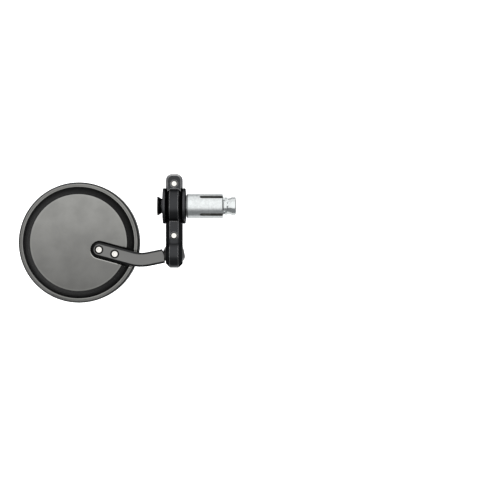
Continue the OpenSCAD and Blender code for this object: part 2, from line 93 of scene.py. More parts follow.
class BarMirrorFinish(bpy.types.PropertyGroup):
    housing_colour: bpy.props.FloatVectorProperty(
        name="Housing", description="Tone of the blasted black anodising on the housing",
        subtype="COLOR", size=3, min=0, max=1, default=(0.232, 0.231, 0.22))
    arm_colour: bpy.props.FloatVectorProperty(
        name="Arm", description="Tone of the anodised arm",
        subtype="COLOR", size=3, min=0, max=1, default=(0.18, 0.179, 0.174))
    link_colour: bpy.props.FloatVectorProperty(
        name="Link", description="Tone of the anodised link, flanges and cup",
        subtype="COLOR", size=3, min=0, max=1, default=(0.042, 0.043, 0.045))
    zinc_colour: bpy.props.FloatVectorProperty(
        name="Zinc plate", description="Tone of the zinc plated sleeve and wedge",
        subtype="COLOR", size=3, min=0, max=1, default=(0.71, 0.735, 0.73))
    screw_colour: bpy.props.FloatVectorProperty(
        name="Screws", description="Tone of the bare stainless screws",
        subtype="COLOR", size=3, min=0, max=1, default=(0.82, 0.80, 0.76))
    edge_softness: bpy.props.FloatProperty(
        name="Edge softness", description="Radius to which machined edges are broken",
        subtype="DISTANCE", unit="LENGTH", min=0, max=0.001, default=0.18 * MM)
    blast_grain: bpy.props.FloatProperty(
        name="Blast grain", description="Size of the grain that bead blasting leaves",
        subtype="DISTANCE", unit="LENGTH", min=0.00005, max=0.002, default=0.25 * MM)


class BarMirrorThread(bpy.types.PropertyGroup):
    pitch: bpy.props.FloatProperty(
        name="Pitch", description="Distance between the bolt's thread crests",
        subtype="DISTANCE", unit="LENGTH", min=0.0005, max=0.002, default=1.0 * MM)
    depth: bpy.props.FloatProperty(
        name="Depth", description="Height of the thread above its root",
        subtype="DISTANCE", unit="LENGTH", min=0.0002, max=0.001, default=0.55 * MM)
    start: bpy.props.FloatProperty(
        name="Start", description="Where the thread begins along the bar",
        subtype="DISTANCE", unit="LENGTH", min=0, max=0.02, default=6.8 * MM)


class BarMirrorStudio(bpy.types.PropertyGroup):
    camera_distance: bpy.props.FloatProperty(
        name="Camera distance", description="How far the camera stands from the bar's axis",
        subtype="DISTANCE", unit="LENGTH", min=0.3, max=3, default=0.9)
    frame_width: bpy.props.FloatProperty(
        name="Frame width", description="Width of the picture at the bar's axis",
        subtype="DISTANCE", unit="LENGTH", min=0.1, max=1, default=0.3173)
    floor_drop: bpy.props.FloatProperty(
        name="Floor drop", description="Gap between the part's lowest point at rest and the floor",
        subtype="DISTANCE", unit="LENGTH", min=0.002, max=0.5, default=0.06)
    front_power: bpy.props.FloatProperty(
        name="Front light", description="Power of the soft box behind the camera",
        unit="POWER", min=0, max=100, default=4.0)
    top_power: bpy.props.FloatProperty(
        name="Top light", description="Power of the overhead soft box",
        unit="POWER", min=0, max=100, default=3.3)
    back_power: bpy.props.FloatProperty(
        name="Back light", description="Power of the high box behind the mirror; the low one follows it",
        unit="POWER", min=0, max=100, default=3.2)


# Node helpers

class Sum:
    """A number in a shader, so that its maths reads as an expression."""

    def __init__(self, bench, socket):
        self.bench = bench
        self.socket = socket

    def _maths(self, operation, a, b):
        node = self.bench.node("ShaderNodeMath", {"operation": operation}, {0: a, 1: b})
        return Sum(self.bench, node.outputs[0])

    def __add__(self, other):
        return self._maths("ADD", self, other)

    def __radd__(self, other):
        return self._maths("ADD", other, self)

    def __sub__(self, other):
        return self._maths("SUBTRACT", self, other)

    def __rsub__(self, other):
        return self._maths("SUBTRACT", other, self)

    def __mul__(self, other):
        return self._maths("MULTIPLY", self, other)

    def __rmul__(self, other):
        return self._maths("MULTIPLY", other, self)

    def __truediv__(self, other):
        return self._maths("DIVIDE", self, other)

    def __abs__(self):
        return self._maths("ABSOLUTE", self, 0.0)


class Bench:
    """Adds nodes to one tree."""

    def __init__(self, tree):
        self.tree = tree

    def node(self, kind, settings=None, values=None):
        made = self.tree.nodes.new(kind)
        for name, setting in (settings or {}).items():
            setattr(made, name, setting)
        for name, value in (values or {}).items():
            self.put(made.inputs[name], value)
        return made

    def put(self, socket, value):
        if isinstance(value, Sum):
            value = value.socket
        if isinstance(value, bpy.types.NodeSocket):
            self.tree.links.new(value, socket)
        else:
            socket.default_value = value

    def number(self, kind, settings=None, values=None, output=0):
        return Sum(self, self.node(kind, settings, values).outputs[output])


def new_material(name):
    """An empty node material: its bench, its surface shader and its object coordinates."""
    material = bpy.data.materials.new(name)
    material.use_nodes = True
    bench = Bench(material.node_tree)
    shader = material.node_tree.nodes["Principled BSDF"]
    place = bench.node("ShaderNodeTexCoord").outputs["Object"]
    return material, bench, shader, place


def noise(bench, place, scale, detail=2.0, roughness=0.5):
    """Soft noise from 0 to 1, with its scale in cells per metre."""
    return bench.number("ShaderNodeTexNoise", {}, {
        "Vector": place, "Scale": scale, "Detail": detail, "Roughness": roughness})


def tone(bench, mask, colour_a, colour_b):
    """A colour between two, by a mask from 0 to 1."""
    mixed = bench.node("ShaderNodeMix", {"data_type": "RGBA"}, {
        "Factor": mask, 6: (*colour_a, 1), 7: (*colour_b, 1)})
    return mixed.outputs[2]


def blend(bench, mask, colour_a, colour_b):
    """A colour between two sockets, by a mask from 0 to 1."""
    mixed = bench.node("ShaderNodeMix", {"data_type": "RGBA"}, {"Factor": mask, 6: colour_a, 7: colour_b})
    return mixed.outputs[2]


def scaled(bench, colour, factor):
    """A colour socket made lighter or darker by a number."""
    made = bench.node("ShaderNodeVectorMath", {"operation": "SCALE"}, {0: colour, "Scale": factor})
    return made.outputs[0]


def shaded(colour, factor):
    """A plain colour made lighter or darker, and never brighter than white."""
    return tuple(min(1.0, c * factor) for c in colour)


def ramp(bench, value, low, high):
    """A smooth rise from 0 to 1 while a value goes from low to high."""
    return bench.number("ShaderNodeMapRange", {"interpolation_type": "SMOOTHSTEP"}, {
        "Value": value, "From Min": low, "From Max": high})


def band(bench, value, low, high, soft):
    """1 between low and high, with soft ends."""
    return ramp(bench, value, low - soft, low + soft) * ramp(bench, value, high + soft, high - soft)


def part_of(bench, place, axis):
    """One coordinate of a point: 0, 1 or 2."""
    return bench.number("ShaderNodeSeparateXYZ", {}, {0: place}, axis)


def reach(bench, place, centre, across=(1, 0, 1)):
    """Distance from a line through a centre: along Y, or across the axes that are 1."""
    moved = bench.node("ShaderNodeVectorMath", {"operation": "SUBTRACT"}, {0: place, 1: centre})
    flat = bench.node("ShaderNodeVectorMath", {"operation": "MULTIPLY"}, {0: moved.outputs[0], 1: across})
    return bench.number("ShaderNodeVectorMath", {"operation": "LENGTH"}, {0: flat.outputs[0]}, 1)


def bar_radius(bench, place):
    """Distance from the bar's axis."""
    return reach(bench, place, (0, 0, 0), (0, 1, 1))


def convex_edge_highlights(bench, width):
    """1 along convex edges, for painted highlights, falling to 0 within a width of them."""
    rounded = bench.node("ShaderNodeBevel", {"samples": 8}, {"Radius": width})
    flat = bench.node("ShaderNodeNewGeometry").outputs["True Normal"]
    likeness = bench.number("ShaderNodeVectorMath", {"operation": "DOT_PRODUCT"}, {
        0: rounded.outputs[0], 1: flat}, 1)
    no_highlight, tone_and_highlight = 0.999, 0.97
    return ramp(bench, likeness, no_highlight, tone_and_highlight)


def surface_normal(bench, height, depth, edge):
    """Bump of a real depth in metres over edges that are rounded to a radius."""
    broken = bench.node("ShaderNodeBevel", {"samples": 6}, {"Radius": edge})
    bump = bench.node("ShaderNodeBump", {}, {
        "Strength": 1.0, "Distance": depth, "Height": height, "Normal": broken.outputs[0]})
    return bump.outputs[0]


def dark_outline(shader):
    """Keeps a black coat black where it is seen edge on."""
    sheen = 0.12
    shader.inputs["Specular Tint"].default_value = (sheen, sheen, sheen, 1)
    shader.inputs["Specular IOR Level"].default_value = sheen


def blasting(bench, place, finish, cloud_scale):
    """The fine grain that bead blasting leaves, and clouds with a scale in cells per metre."""
    grain = noise(bench, place, 1 / finish.blast_grain, 3, 0.6)
    cloud = noise(bench, place, cloud_scale, 3, 0.55)
    return grain, cloud


def wire(bench, shader, colour, roughness, normal, metallic=1.0):
    """Feeds a finish into its shader."""
    bench.put(shader.inputs["Base Color"], colour)
    bench.put(shader.inputs["Roughness"], roughness)
    bench.put(shader.inputs["Normal"], normal)
    bench.put(shader.inputs["Metallic"], metallic)


def middle(low, high):
    """Centre of a box."""
    return [(a + b) / 2 for a, b in zip(low, high)]


# Materials

def pocket_lip_highlight(bench, place, width):
    """1 along the lower edge of the arm's pocket, for a painted highlight where it catches the light."""
    soft = 0.12 * MM
    lip = POCKET_RADIUS + width
    end, rim = (middle(*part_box(screw)) for screw in ("arm_screw_end", "arm_screw_rim"))
    run = math.hypot(rim[0] - end[0], rim[2] - end[2])
    slope_x = (rim[0] - end[0]) / run
    slope_z = (rim[2] - end[2]) / run
    from_x = part_of(bench, place, 0) - end[0]
    from_z = part_of(bench, place, 2) - end[2]
    past_end = ramp(bench, slope_x * from_x + slope_z * from_z, -0.05 * MM, 0.05 * MM)
    below = slope_z * from_x - slope_x * from_z
    straight = band(bench, below, POCKET_RADIUS, lip, soft)
    bend = band(bench, reach(bench, place, end), POCKET_RADIUS, lip, soft)
    # The line fades out on its way round the pocket's end
    lower = ramp(bench, below, 0.35 * POCKET_RADIUS, 0.95 * POCKET_RADIUS)
    return straight * past_end + bend * lower * (1.0 - past_end)


def housing_anodising(name, finish):
    """The housing's coat: lighter on its back and rim land, matt black in its hollows and round its side,
    with painted light on its back and painted shade in its hollows.
    """
    material, bench, shader, place = new_material(name)
    low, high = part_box("housing")
    centre = middle(low, high)
    outer = (high[0] - low[0]) / 2
    groove_in, groove_out = groove_radii(centre, outer)
    rounding = 0.5 * MM
    edge_in = groove_in - rounding
    radius = reach(bench, place, centre)
    depth = part_of(bench, place, 1) - low[1]
    grain, cloud = blasting(bench, place, finish, 60)
    colour = finish.housing_colour
    patches = ramp(bench, cloud, 0.3, 0.7)
    tone_and_highlight = tone(bench, 0.85 * patches + 0.15 * grain, shaded(colour, 0.88), shaded(colour, 1.12))
    # Painted light: the back is lighter towards its top. Painted highlights on its edge and on the pocket's
    # lip, and painted shade at the foot of the rim's step
    height = ramp(bench, part_of(bench, place, 2), low[2], high[2])
    disc_edge_highlight = band(bench, radius, edge_in - 0.9 * MM, edge_in, 0.25 * MM)
    step_shade = band(bench, radius, groove_out + 0.7 * MM, groove_out + 1.05 * MM, 0.15 * MM)
    inside = ramp(bench, radius, groove_out + 0.05 * MM, groove_out - 0.05 * MM)
    level = 0.98 - inside * (0.38 - 0.6 * height)
    painted_light = level + 0.12 * disc_edge_highlight - 0.3 * step_shade
    lit = scaled(bench, tone_and_highlight, painted_light + 1.4 * pocket_lip_highlight(bench, place, 0.5 * MM))
    # The groove and the pocket, the rounded edge beside the groove, and the side: matt black, which in the
    # groove and the pocket is also painted shade
    hollow = inside * ramp(bench, depth, 0.05 * MM, 0.2 * MM)
    edge = band(bench, radius, edge_in, groove_out, 0.08 * MM)
    side = ramp(bench, radius, outer - 1.25 * MM, outer - 0.75 * MM)
    matt = ramp(bench, hollow + edge + side, 0.0, 1.0)
    # Painted light: the matt black is lighter towards the left side
    across = ramp(bench, part_of(bench, place, 0), high[0], low[0])
    black = tone(bench, 0.7 * across + 0.3 * cloud, *MATT_BLACK_AND_SHADE)
    # Edges are broken wider near the groove
    near_edge = band(bench, radius, edge_in - 2.5 * MM, edge_in + MM, 0.5 * MM)
    softness = 2.0 * finish.edge_softness + 0.9 * MM * near_edge
    normal = surface_normal(bench, grain, BLAST_DEPTH, softness)
    coat = blend(bench, matt, lit, black)
    wire(bench, shader, coat, 0.34 + 0.08 * cloud + 0.05 * grain, normal, 1.0 - matt)
    dark_outline(shader)
    return material


def arm_anodising(name, finish):
    """The arm's coat: grey on its two flat faces, with painted shade as black on its bevels, sides and screw
    recesses.
    """
    material, bench, shader, place = new_material(name)
    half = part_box("arm")[1][1]
    grain, cloud = blasting(bench, place, finish, 70)
    colour = finish.arm_colour
    face = tone(bench, 0.7 * cloud + 0.3 * grain, shaded(colour, 0.84), shaded(colour, 1.16))
    depth = abs(part_of(bench, place, 1))
    on_face = ramp(bench, depth, half - 0.3 * MM, half - 0.04 * MM)
    # Painted shade: the face turns black in a ring round each screw's recess
    for screw in ("arm_screw_end", "arm_screw_rim"):
        low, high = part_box(screw)
        centre = middle(low, high)
        recess = (high[0] - low[0]) / 2 + 0.7 * MM
        on_face = on_face * ramp(bench, reach(bench, place, centre), recess, recess + 0.25 * MM)
    # Painted shade: a black copy of the coat on the bevels and sides
    black = tone(bench, cloud, (0.035, 0.035, 0.036), (0.055, 0.055, 0.056))
    normal = surface_normal(bench, grain, BLAST_DEPTH, finish.edge_softness)
    wire(bench, shader, blend(bench, on_face, black, face), 0.36 + 0.08 * cloud + 0.05 * grain, normal)
    dark_outline(shader)
    return material


def link_anodising(name, finish, rim=None):
    """The link's coat: black, with grey painted highlights along its edges and its ear's bevels and a
    painted reflection at its foot; on a flange, a rim of a given radius gets the painted highlight instead.
    """
    material, bench, shader, place = new_material(name)
    grain, cloud = blasting(bench, place, finish, 90)
    colour = finish.link_colour
    coat = tone(bench, 0.7 * cloud + 0.3 * grain, shaded(colour, 0.8), shaded(colour, 1.2))
    height = part_of(bench, place, 2)
    ball_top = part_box("pivot_ball")[1][2]
    # Where the stem runs into the eye, its edges are blended away
    fillet = band(bench, height, ball_top - 2.0 * MM, ball_top + 2.5 * MM, 1.2 * MM)
    # Painted highlights along the convex edges, in patches
    edges = convex_edge_highlights(bench, 2.2 * finish.edge_softness) * (0.4 + 0.6 * cloud) * (1.0 - fillet)
    highlight_grey = tone(bench, grain, (0.42, 0.42, 0.42), (0.56, 0.56, 0.56))
    # Painted highlight on the ear's bevels, which face the light above, and a painted reflection along the
    # link's foot
    ring_top, ear_half = ear_measures()
    above = ramp(bench, height, ring_top, ring_top + 0.5 * MM)
    off_face = ramp(bench, abs(part_of(bench, place, 1)), ear_half - 0.02 * MM, ear_half - 0.2 * MM)
    foot_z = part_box("link")[0][2]
    foot = ramp(bench, height, foot_z + 2.2 * MM, foot_z + 0.5 * MM)
    tone_and_highlight = edges + above * off_face + 0.5 * foot
    # On a flange, a painted highlight round its rim takes the place of the ear's and the foot's
    if rim is not None:
        tone_and_highlight = edges + 0.14 * ramp(bench, bar_radius(bench, place), rim - 0.45 * MM, rim - 0.15 * MM)
    highlight_share = ramp(bench, tone_and_highlight, 0.0, 1.0)
    softness = finish.edge_softness + 2.6 * MM * fillet
    normal = surface_normal(bench, grain, 0.005 * MM, softness)
    wire(bench, shader, blend(bench, highlight_share, coat, highlight_grey), 0.3 + 0.08 * cloud + 0.05 * grain, normal)
    dark_outline(shader)
    return material


def zinc_plate(name, finish, shade_x=None, shade_radius=None, roughness=0.25, spots=0.0):
    """Zinc plate with fine tool rings and a share of spots.

    It is darkened with painted shade up to a given place along the bar, and inside a given radius.
    """
    material, bench, shader, place = new_material(name)
    cloud = noise(bench, place, 90, 4, 0.6)
    grain = noise(bench, place, 2600, 2, 0.6)
    stretched = bench.node("ShaderNodeMapping", {}, {"Vector": place, "Scale": (1.0, 0.02, 0.02)})
    rings = noise(bench, stretched.outputs[0], 9000, 2, 0.6)
    mottle = ramp(bench, noise(bench, place, 700, 2, 0.6), 0.3, 0.7)
    mask = spots * mottle + (1.0 - spots) * (0.55 * cloud + 0.25 * rings + 0.2 * grain)
    colour = finish.zinc_colour
    plate = tone(bench, mask, shaded(colour, 0.8), shaded(colour, 1.14))
    if shade_x is not None:
        # Painted shade on the wedge where it lies inside the sleeve
        wedge_shade = ramp(bench, part_of(bench, place, 0), shade_x, shade_x - 0.3 * MM)
        plate = blend(bench, wedge_shade, plate, INNER_SHADE)
    if shade_radius is not None:
        # Painted shade on the sleeve's inner faces, seen through its slots
        inside = ramp(bench, bar_radius(bench, place), shade_radius, shade_radius - 0.3 * MM)
        plate = blend(bench, inside, plate, SLOT_SHADE_ZINC)
    normal = surface_normal(bench, 0.6 * rings + 0.4 * grain, 0.004 * MM, finish.edge_softness)
    wire(bench, shader, plate, roughness + 0.14 * cloud + 0.06 * grain, normal)
    return material


def bare_stainless(name, finish, screw=None):
    """Bare stainless steel with fine drawing marks, and painted shade round the rim of a screw's end that
    faces back.
    """
    material, bench, shader, place = new_material(name)
    marks = noise(bench, place, 5200, 3, 0.65)
    cloud = noise(bench, place, 300, 2, 0.5)
    colour = finish.screw_colour
    steel = tone(bench, cloud, shaded(colour, 0.86), shaded(colour, 1.08))
    if screw is not None:
        # Painted shade in a thin ring round the screw's end
        centre, rim, half = end_rim(screw)
        near = ramp(bench, part_of(bench, place, 1), centre[1], centre[1] - half)
        rim_shade = near * ramp(bench, reach(bench, place, centre), rim - 0.4 * MM, rim - 0.2 * MM)
        steel = blend(bench, rim_shade, steel, SCREW_RIM_SHADE)
    normal = surface_normal(bench, marks, 0.003 * MM, finish.edge_softness)
    wire(bench, shader, steel, 0.22 + 0.1 * marks, normal)
    return material


def black_oxide(name, finish, dark=(0.05, 0.051, 0.055), light=(0.082, 0.078, 0.074)):
    """Oiled black oxide on steel, in clouds of two tones."""
    material, bench, shader, place = new_material(name)
    cloud = noise(bench, place, 240, 4, 0.6)
    grain = noise(bench, place, 4200, 2, 0.6)
    normal = surface_normal(bench, grain, 0.003 * MM, finish.edge_softness)
    wire(bench, shader, tone(bench, cloud, dark, light), 0.26 + 0.14 * cloud, normal)
    return material


def silvered_glass(name):
    """Silvered convex glass, with a faint haze and a slightly green tint."""
    material, bench, shader, place = new_material(name)
    haze = noise(bench, place, 45, 4, 0.6)
    bench.put(shader.inputs["Base Color"], tone(bench, haze, (0.86, 0.9, 0.885), (0.9, 0.925, 0.915)))
    bench.put(shader.inputs["Roughness"], 0.008 + 0.02 * haze)
    shader.inputs["Metallic"].default_value = 1.0
    shader.inputs["Coat Weight"].default_value = 0.5
    shader.inputs["Coat Roughness"].default_value = 0.01
    return material


def soft_rubber(name, finish):
    """Matt black moulded rubber."""
    material, bench, shader, place = new_material(name)
    grain = noise(bench, place, 3500, 3, 0.6)
    cloud = noise(bench, place, 150, 2, 0.5)
    black = tone(bench, cloud, (0.014, 0.014, 0.014), (0.026, 0.026, 0.026))
    normal = surface_normal(bench, grain, 0.01 * MM, finish.edge_softness)
    wire(bench, shader, black, 0.6 + 0.2 * grain, normal, 0.0)
    return material


def closed_foam(name, finish):
    """Dark closed cell foam, pitted by its cells."""
    material, bench, shader, place = new_material(name)
    cells = bench.number("ShaderNodeTexVoronoi", {}, {"Vector": place, "Scale": 1600})
    dark = tone(bench, cells, (0.03, 0.03, 0.032), (0.075, 0.075, 0.078))
    normal = surface_normal(bench, cells, 0.08 * MM, finish.edge_softness)
    wire(bench, shader, dark, 0.8 + 0.1 * cells, normal, 0.0)
    return material


def pale_paper(name):
    """Pale studio paper for the floor and the wall behind it."""
    material, bench, shader, place = new_material(name)
    fibre = noise(bench, place, 40, 3, 0.5)
    bench.put(shader.inputs["Base Color"], tone(bench, fibre, (0.86, 0.86, 0.86), (0.89, 0.89, 0.89)))
    shader.inputs["Roughness"].default_value = 0.9
    shader.inputs["Emission Color"].default_value = (1, 1, 1, 1)
    shader.inputs["Emission Strength"].default_value = 0.85
    return material


# Mesh helpers

def end_rim(screw):
    """Centre of a screw that lies along Y, the radius of its end at the back and half its length."""
    low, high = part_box(screw)
    centre = middle(low, high)
    ends = [v.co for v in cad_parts[screw].data.vertices if v.co.y < low[1] + 0.6 * MM]
    radius = max(math.hypot(point.x - centre[0], point.z - centre[2]) for point in ends)
    return centre, radius, (high[1] - low[1]) / 2


def ear_measures():
    """Top of the link's ring, and half the thickness of the ear above it."""
    points = [vert.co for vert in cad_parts["link"].data.vertices]
    ring_top = max(abs(point.y) for point in points)
    return ring_top, max(abs(point.y) for point in points if point.z > ring_top + MM)


def groove_radii(centre, outer):
    """Inner and outer radius of the housing's back groove, read from its own points."""
    rings = []
    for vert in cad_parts["housing"].data.vertices:
        radius = math.hypot(vert.co.x - centre[0], vert.co.z - centre[2])
        if outer - 10 * MM < radius < outer - MM and vert.co.y < centre[1]:
            rings.append((vert.co.y, radius))
    back = min(y for y, radius in rings)
    floor = max(y for y, radius in rings)
    inner = max(radius for y, radius in rings if y < back + SLACK)
    return inner, max(radius for y, radius in rings if y > floor - SLACK)


def dress(node, material):
    """Gives a CAD node its finish."""
    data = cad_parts[node].data
    data.materials.clear()
    data.materials.append(material)


def aim(obj, target):
    """Turns a lamp to face a point."""
    obj.rotation_euler = (Vector(target) - obj.location).to_track_quat("-Z", "Y").to_euler()


def thread_tree():
    """A V thread wound round +X. Its crest radius, pitch, length, depth, start and material are inputs."""
    tree = bpy.data.node_groups.new("bolt_thread", "GeometryNodeTree")
    face = tree.interface
    face.new_socket("Geometry", in_out="OUTPUT", socket_type="NodeSocketGeometry")
    names = ("Crest Radius", "Pitch", "Length", "Depth", "Start")
    for name in names:
        face.new_socket(name, in_out="INPUT", socket_type="NodeSocketFloat")
    face.new_socket("Material", in_out="INPUT", socket_type="NodeSocketMaterial")
    bench = Bench(tree)
    given = bench.node("NodeGroupInput").outputs

    def number(name):
        return Sum(bench, given[name])

    root = number("Crest Radius") - number("Depth")
    turns = number("Length") / number("Pitch")
    spiral = bench.node("GeometryNodeCurveSpiral", {}, {
        "Resolution": 32, "Rotations": turns, "Start Radius": root, "End Radius": root,
        "Height": number("Length")})
    upright = bench.node("GeometryNodeSetCurveNormal", {"mode": "Z_UP"}, {"Curve": spiral.outputs[0]})
    # Profile: flat on the root, sloping up to a narrow crest
    ridge = bench.node("GeometryNodeCurvePrimitiveQuadrilateral", {"mode": "TRAPEZOID"}, {
        "Height": number("Depth"), "Bottom Width": 0.84 * number("Pitch"),
        "Top Width": 0.14 * number("Pitch"), "Offset": 0.0})
    lift = bench.node("ShaderNodeCombineXYZ", {}, {"Y": 0.5 * number("Depth")})
    raised = bench.node("GeometryNodeTransform", {}, {
        "Geometry": ridge.outputs[0], "Translation": lift.outputs[0]})
    turned = bench.node("GeometryNodeTransform", {}, {
        "Geometry": raised.outputs[0], "Rotation": (0, 0, math.radians(-90))})
    swept = bench.node("GeometryNodeCurveToMesh", {}, {
        "Curve": upright.outputs[0], "Profile Curve": turned.outputs[0], "Fill Caps": True})
    along = bench.node("ShaderNodeCombineXYZ", {}, {"X": number("Start")})
    placed = bench.node("GeometryNodeTransform", {}, {
        "Geometry": swept.outputs[0], "Translation": along.outputs[0],
        "Rotation": (0, math.radians(90), 0)})
    real = bench.node("GeometryNodeRealizeInstances", {}, {"Geometry": placed.outputs[0]})
    painted = bench.node("GeometryNodeSetMaterial", {}, {
        "Geometry": real.outputs[0], "Material": given["Material"]})
    bench.node("NodeGroupOutput", {}, {"Geometry": painted.outputs[0]})
    return tree


def grown(name, tree, values):
    """A plain mesh object grown by a geometry node tree from named input values."""
    carrier = bpy.data.objects.new(name + "_carrier", bpy.data.meshes.new(name + "_carrier"))
    bpy.context.collection.objects.link(carrier)
    modifier = carrier.modifiers.new("grow", "NODES")
    modifier.node_group = tree
    for item in tree.interface.items_tree:
        if item.in_out == "INPUT" and item.name in values:
            modifier[item.identifier] = values[item.name]
    graph = bpy.context.evaluated_depsgraph_get()
    mesh = bpy.data.meshes.new_from_object(carrier.evaluated_get(graph))
    bpy.data.objects.remove(carrier)
    made = bpy.data.objects.new(name, mesh)
    bpy.context.collection.objects.link(made)
    return made


def turned(name, outline, centre, axis, material):
    """A ring or disc turned from a closed outline of (height, radius) points round an axis."""
    work = bmesh.new()
    origin, line = Vector(centre), Vector(axis)
    side = line.orthogonal().normalized()
    rim = [work.verts.new(origin + line * height + side * radius) for height, radius in outline]
    # An edge that lies on the axis would turn into nothing, so it is left out
    edges = [
        work.edges.new((rim[i - 1], rim[i]))
        for i in range(len(rim)) if outline[i - 1][1] or outline[i][1]]
    bmesh.ops.spin(work, geom=rim + edges, cent=centre, axis=axis, angle=2 * math.pi, steps=TURNED_STEPS)
    bmesh.ops.remove_doubles(work, verts=work.verts, dist=WELD)
    bmesh.ops.recalc_face_normals(work, faces=work.faces)
    mesh = bpy.data.meshes.new(name)
    work.to_mesh(mesh)
    work.free()
    mesh.shade_smooth()
    mesh.set_sharp_from_angle(angle=SHARP_ANGLE)
    mesh.materials.append(material)
    made = bpy.data.objects.new(name, mesh)
    bpy.context.collection.objects.link(made)
    return made


def closed_outwards(mesh):
    """Closes seams and turns every face outwards."""
    work = bmesh.new()
    work.from_mesh(mesh)
    bmesh.ops.remove_doubles(work, verts=work.verts, dist=WELD)
    bmesh.ops.recalc_face_normals(work, faces=work.faces)
    work.to_mesh(mesh)
    work.free()


# Operators

class BARMIRROR_OT_housing(bpy.types.Operator):
    """Finish the housing in blasted black anodising"""
    bl_idname = "barmirror.housing"
    bl_label = "Finish Housing"

    def execute(self, context):
        finish = context.scene.bar_mirror_finish
        dress("housing", housing_anodising("housing_anodising", finish))
        return {"FINISHED"}


class BARMIRROR_OT_arm(bpy.types.Operator):
    """Finish the cranked arm and the ball that it carries"""
    bl_idname = "barmirror.arm"
    bl_label = "Finish Arm and Ball"

    def execute(self, context):
        finish = context.scene.bar_mirror_finish
        dress("arm", arm_anodising("arm_anodising", finish))
        dress("pivot_ball", black_oxide("ball_oxide", finish, (0.26, 0.262, 0.266), (0.34, 0.338, 0.334)))
        return {"FINISHED"}


class BARMIRROR_OT_link(bpy.types.Operator):
    """Finish the split link and the black parts beside its ring"""
    bl_idname = "barmirror.link"
    bl_label = "Finish Link and Flanges"

    def execute(self, context):
        finish = context.scene.bar_mirror_finish
        coat = link_anodising("link_anodising", finish)
        dress("link", coat)
        for node in ("outer_flange", "inner_flange", "cup_washer"):
            dress(node, link_anodising(node + "_anodising", finish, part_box(node)[1][2]))
        return {"FINISHED"}


class BARMIRROR_OT_sleeve(bpy.types.Operator):
    """Finish the expanding sleeve, the wedge and the hub in zinc plate"""
    bl_idname = "barmirror.sleeve"
    bl_label = "Finish Sleeve and Wedge"

    def execute(self, context):
        finish = context.scene.bar_mirror_finish
        plate = zinc_plate("zinc_plate", finish)
        dress("clamp_hub", plate)
        self.stepped_spacer(plate)
        end_x, _, sleeve_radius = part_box("expanding_sleeve")[1]
        # The sleeve's inner faces and the wedge inside the sleeve get painted shade
        dress("expanding_sleeve", zinc_plate(
            "sleeve_plate", finish, shade_radius=sleeve_radius - 0.7 * MM, spots=0.45))
        dress("wedge_nut", zinc_plate("wedge_plate", finish, shade_x=end_x, roughness=0.12))
        return {"FINISHED"}

    def stepped_spacer(self, material):
        """The spacer with a shallow step, nearly as wide as the sleeve that it meets."""
        low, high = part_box("spacer_cone")
        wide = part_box("expanding_sleeve")[1][2] - 0.6 * MM
        bore = min(math.hypot(v.co.y, v.co.z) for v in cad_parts["spacer_cone"].data.vertices)
        # Along the bar and outwards: up the flange's face, along a shallow cone and over a small step
        outline = (
            (low[0], bore), (low[0], wide - 1.0 * MM), (low[0] + 0.4 * MM, wide - 0.9 * MM),
            (high[0] - 0.35 * MM, wide - 0.1 * MM), (high[0] - 0.25 * MM, wide), (high[0], wide),
            (high[0], bore))
        spacer = turned("turned_spacer", outline, (0, 0, 0), (1, 0, 0), material)
        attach(spacer, "bar_end")
        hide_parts("spacer_cone")


class BARMIRROR_OT_screws(bpy.types.Operator):
    """Finish the small stainless screws"""
    bl_idname = "barmirror.screws"
    bl_label = "Finish Screws"

    def execute(self, context):
        finish = context.scene.bar_mirror_finish
        dress("ball_end_screw", bare_stainless("bare_stainless", finish))
        for node in ("arm_screw_end", "arm_screw_rim", "ring_clamp_screw", "socket_clamp_screw"):
            dress(node, bare_stainless(node + "_steel", finish, node))
        return {"FINISHED"}


class BARMIRROR_OT_glass(bpy.types.Operator):
    """Finish the silvered glass, its rubber ring and its foam backing"""
    bl_idname = "barmirror.glass"
    bl_label = "Finish Glass"

    def execute(self, context):
        finish = context.scene.bar_mirror_finish
        self.smooth_glass(silvered_glass("silvered_glass"))
        dress("glass_gasket", soft_rubber("gasket_rubber", finish))
        dress("glass_backing", closed_foam("backing_foam", finish))
        return {"FINISHED"}

    def smooth_glass(self, material):
        """The glass turned anew in even rings, so that it reflects without a flaw."""
        low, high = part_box("mirror_glass")
        radius = (high[0] - low[0]) / 2
        centre = ((low[0] + high[0]) / 2, 0, (low[2] + high[2]) / 2)
        points = [vert.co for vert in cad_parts["mirror_glass"].data.vertices]
        edge = max(p.y for p in points if math.hypot(p.x - centre[0], p.z - centre[2]) > radius - SLACK)
        sag = high[1] - edge
        front_curve = (radius ** 2 + sag ** 2) / (2 * sag)
        curve_centre = high[1] - front_curve
        back_curve = math.hypot(low[1] - curve_centre, radius)
        rings = 12
        radii = [radius * i / rings for i in range(rings + 1)]
        front = [(curve_centre + math.sqrt(front_curve ** 2 - r ** 2), r) for r in radii]
        back = [(curve_centre + math.sqrt(back_curve ** 2 - r ** 2), r) for r in reversed(radii)]
        glass = turned("silvered_glass", front + back, centre, (0, 1, 0), material)
        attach(glass, "mirror_arm")
        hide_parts("mirror_glass")


